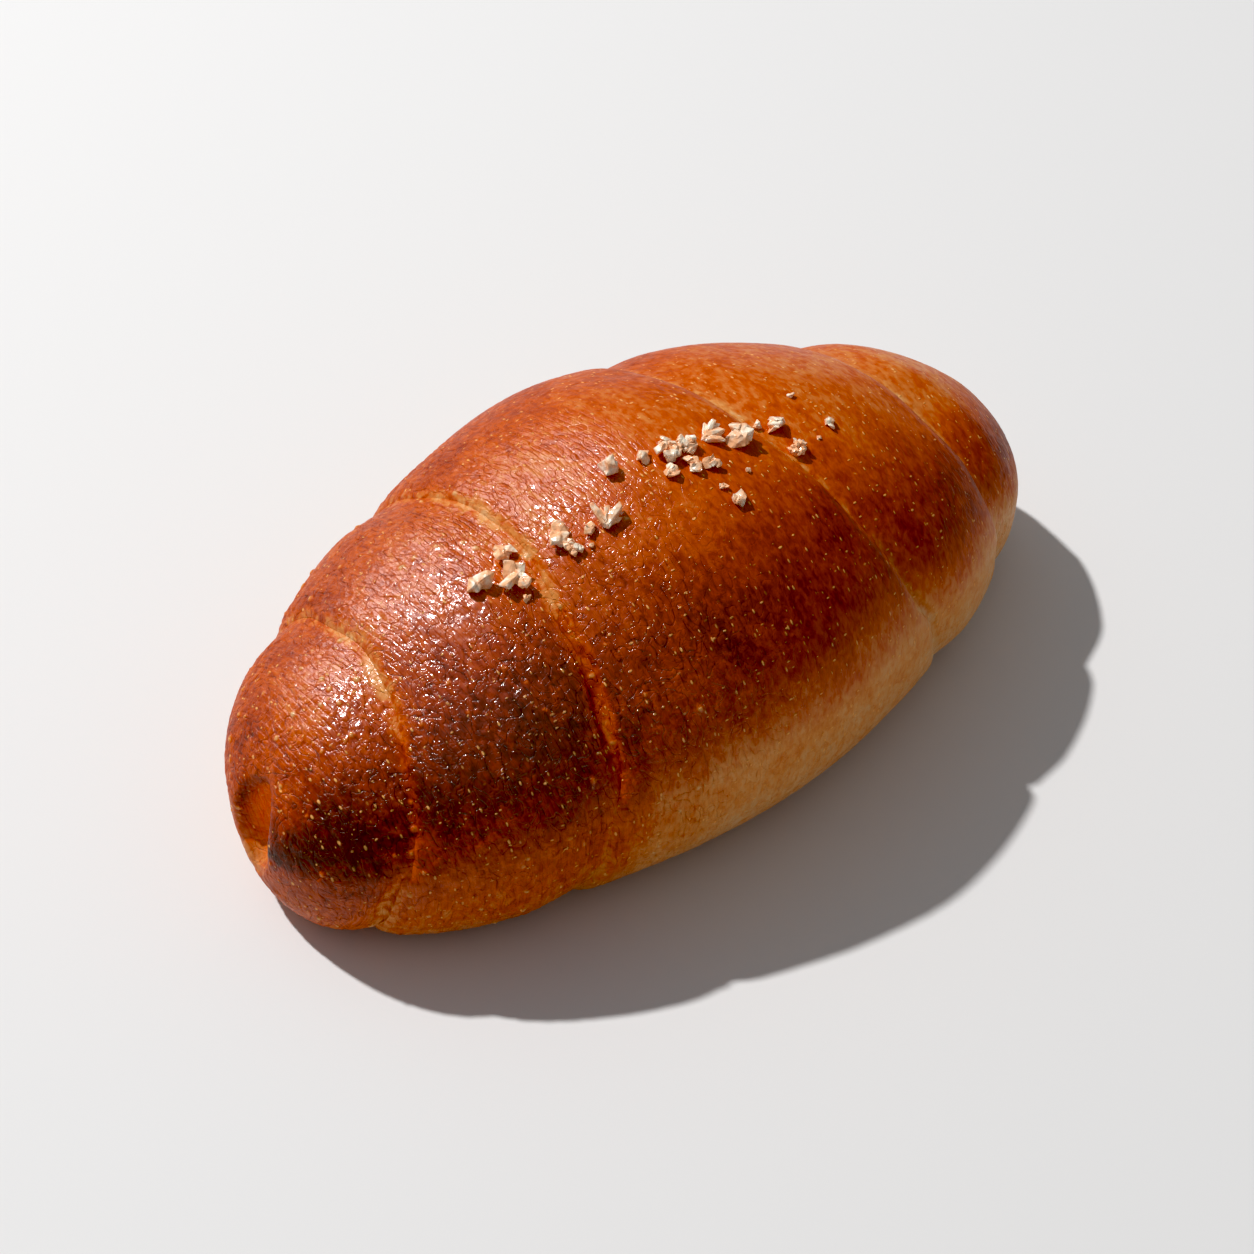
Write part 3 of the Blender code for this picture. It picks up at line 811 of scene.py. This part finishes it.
def make_salt(shift, material):
    """All the grains, each standing on the crust."""
    draw = random.Random(SALT_SEED)
    joined = bmesh.new()
    for x, degrees, width, kind in SALT:
        angle = np.radians([float(degrees)])
        at = np.array([x])
        band = int(sum(seam_place(seam, angle)[0] < x for seam in range(len(SEAMS))))
        spot = Vector(place(at, angle, relief(band, at, angle))[0]) - shift
        outward = Vector((0.0, math.cos(angle[0]), math.sin(angle[0])))
        turn = outward.to_track_quat("Z", "X").to_matrix().to_4x4()
        spin = Matrix.Rotation(draw.uniform(0.0, math.tau), 4, "Z")
        frame = Matrix.Translation(spot + outward * GRAIN_STAND * width) @ turn @ spin
        for solid in make_grain(draw, kind, width, frame):
            part = bpy.data.meshes.new("grain")
            solid.to_mesh(part)
            solid.free()
            joined.from_mesh(part)
            bpy.data.meshes.remove(part)
    mesh = bpy.data.meshes.new("salt")
    joined.to_mesh(mesh)
    joined.free()
    mesh.materials.append(material)
    return add_object("salt", mesh)


def make_camera():
    """The photograph's view: its yaw is how far the camera stands round from -Y towards -X."""
    elevation, yaw = math.radians(CAMERA_ELEVATION), math.radians(CAMERA_YAW)
    back = Vector(
        (-math.sin(yaw) * math.cos(elevation), -math.cos(yaw) * math.cos(elevation), math.sin(elevation))
    )
    data = bpy.data.cameras.new("camera")
    data.sensor_width = SENSOR
    data.lens = FOCAL_PIXELS / IMAGE_SIDE * SENSOR
    camera = add_object("camera", data)
    camera.location = Vector(CAMERA_TARGET) + back * CAMERA_DISTANCE
    camera.rotation_euler = back.to_track_quat("Z", "Y").to_euler()
    bpy.context.scene.camera = camera


def make_studio():
    """A pale floor, a small lamp for the clear shadow, a large one for the wash to shine in, a soft surround."""
    mesh = bpy.data.meshes.new("floor")
    table = bmesh.new()
    bmesh.ops.create_grid(table, x_segments=1, y_segments=1, size=FLOOR_HALF)
    table.to_mesh(mesh)
    table.free()
    material = bpy.data.materials.new("matte_white_board")
    material.use_nodes = True
    shader = material.node_tree.nodes["Principled BSDF"].inputs
    shader["Base Color"].default_value = linear(FLOOR_COLOUR)
    shader["Roughness"].default_value = FLOOR_ROUGHNESS
    mesh.materials.append(material)
    floor = add_object("floor", mesh)

    for name, shape, size, power, colour, direction, distance in (
        ("key", "DISK", (KEY_SIZE, KEY_SIZE), KEY_POWER, KEY_COLOUR, KEY_DIRECTION, KEY_DISTANCE),
        ("window", "RECTANGLE", WINDOW_SIZE, WINDOW_POWER, WINDOW_COLOUR, WINDOW_DIRECTION, WINDOW_DISTANCE),
    ):
        light = bpy.data.lights.new(name, "AREA")
        light.shape = shape
        light.size, light.size_y = size
        light.energy = power
        light.color = colour
        lamp = add_object(name, light)
        lamp.location = Vector(direction) * distance
        lamp.rotation_euler = Vector(direction).to_track_quat("Z", "Y").to_euler()
        lamp.visible_diffuse = name == "key"  # the window only shines on the wash

    world = bpy.data.worlds.new("surround")
    world.use_nodes = True
    add = partial(add_node, world.node_tree)
    background = world.node_tree.nodes["Background"].inputs
    background["Color"].default_value = SKY_COLOUR
    height = add("ShaderNodeSeparateXYZ", {0: add("ShaderNodeTexCoord")["Generated"]})["Z"]
    strength = {0: height, 2: SKY_FULL_HEIGHT, 3: SKY_AT_HORIZON, 4: SKY_OVERHEAD}
    world.node_tree.links.new(add(RANGE, strength, **SMOOTH)[0], background["Strength"])
    bpy.context.scene.world = world
    view = bpy.context.scene.view_settings
    view.view_transform = "Standard"
    view.use_curve_mapping = True
    view.curve_mapping.black_level = HAZE
    view.curve_mapping.update()


def main():
    """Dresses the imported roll: the bands and the salt stand for its one solid."""
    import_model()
    make_camera()
    make_studio()
    crust = crust_material()
    tree = crust_relief_tree()
    values = {**RELIEF, "Material": crust}
    bands = [make_band(band) for band in range(len(BANDS))]
    corners = np.array([corner for piece in bands for corner in piece.bound_box])
    shift = Vector((corners.min(0) + corners.max(0)) / 2)
    shift.z = 0.0
    for piece in bands:
        piece.data.transform(Matrix.Translation(-shift))
        bake_tree(piece, tree, values)
    salt = make_salt(shift, salt_material())
    for piece in bands + [salt]:
        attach(piece, "root")
        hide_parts("salt_bread_roll")


main()
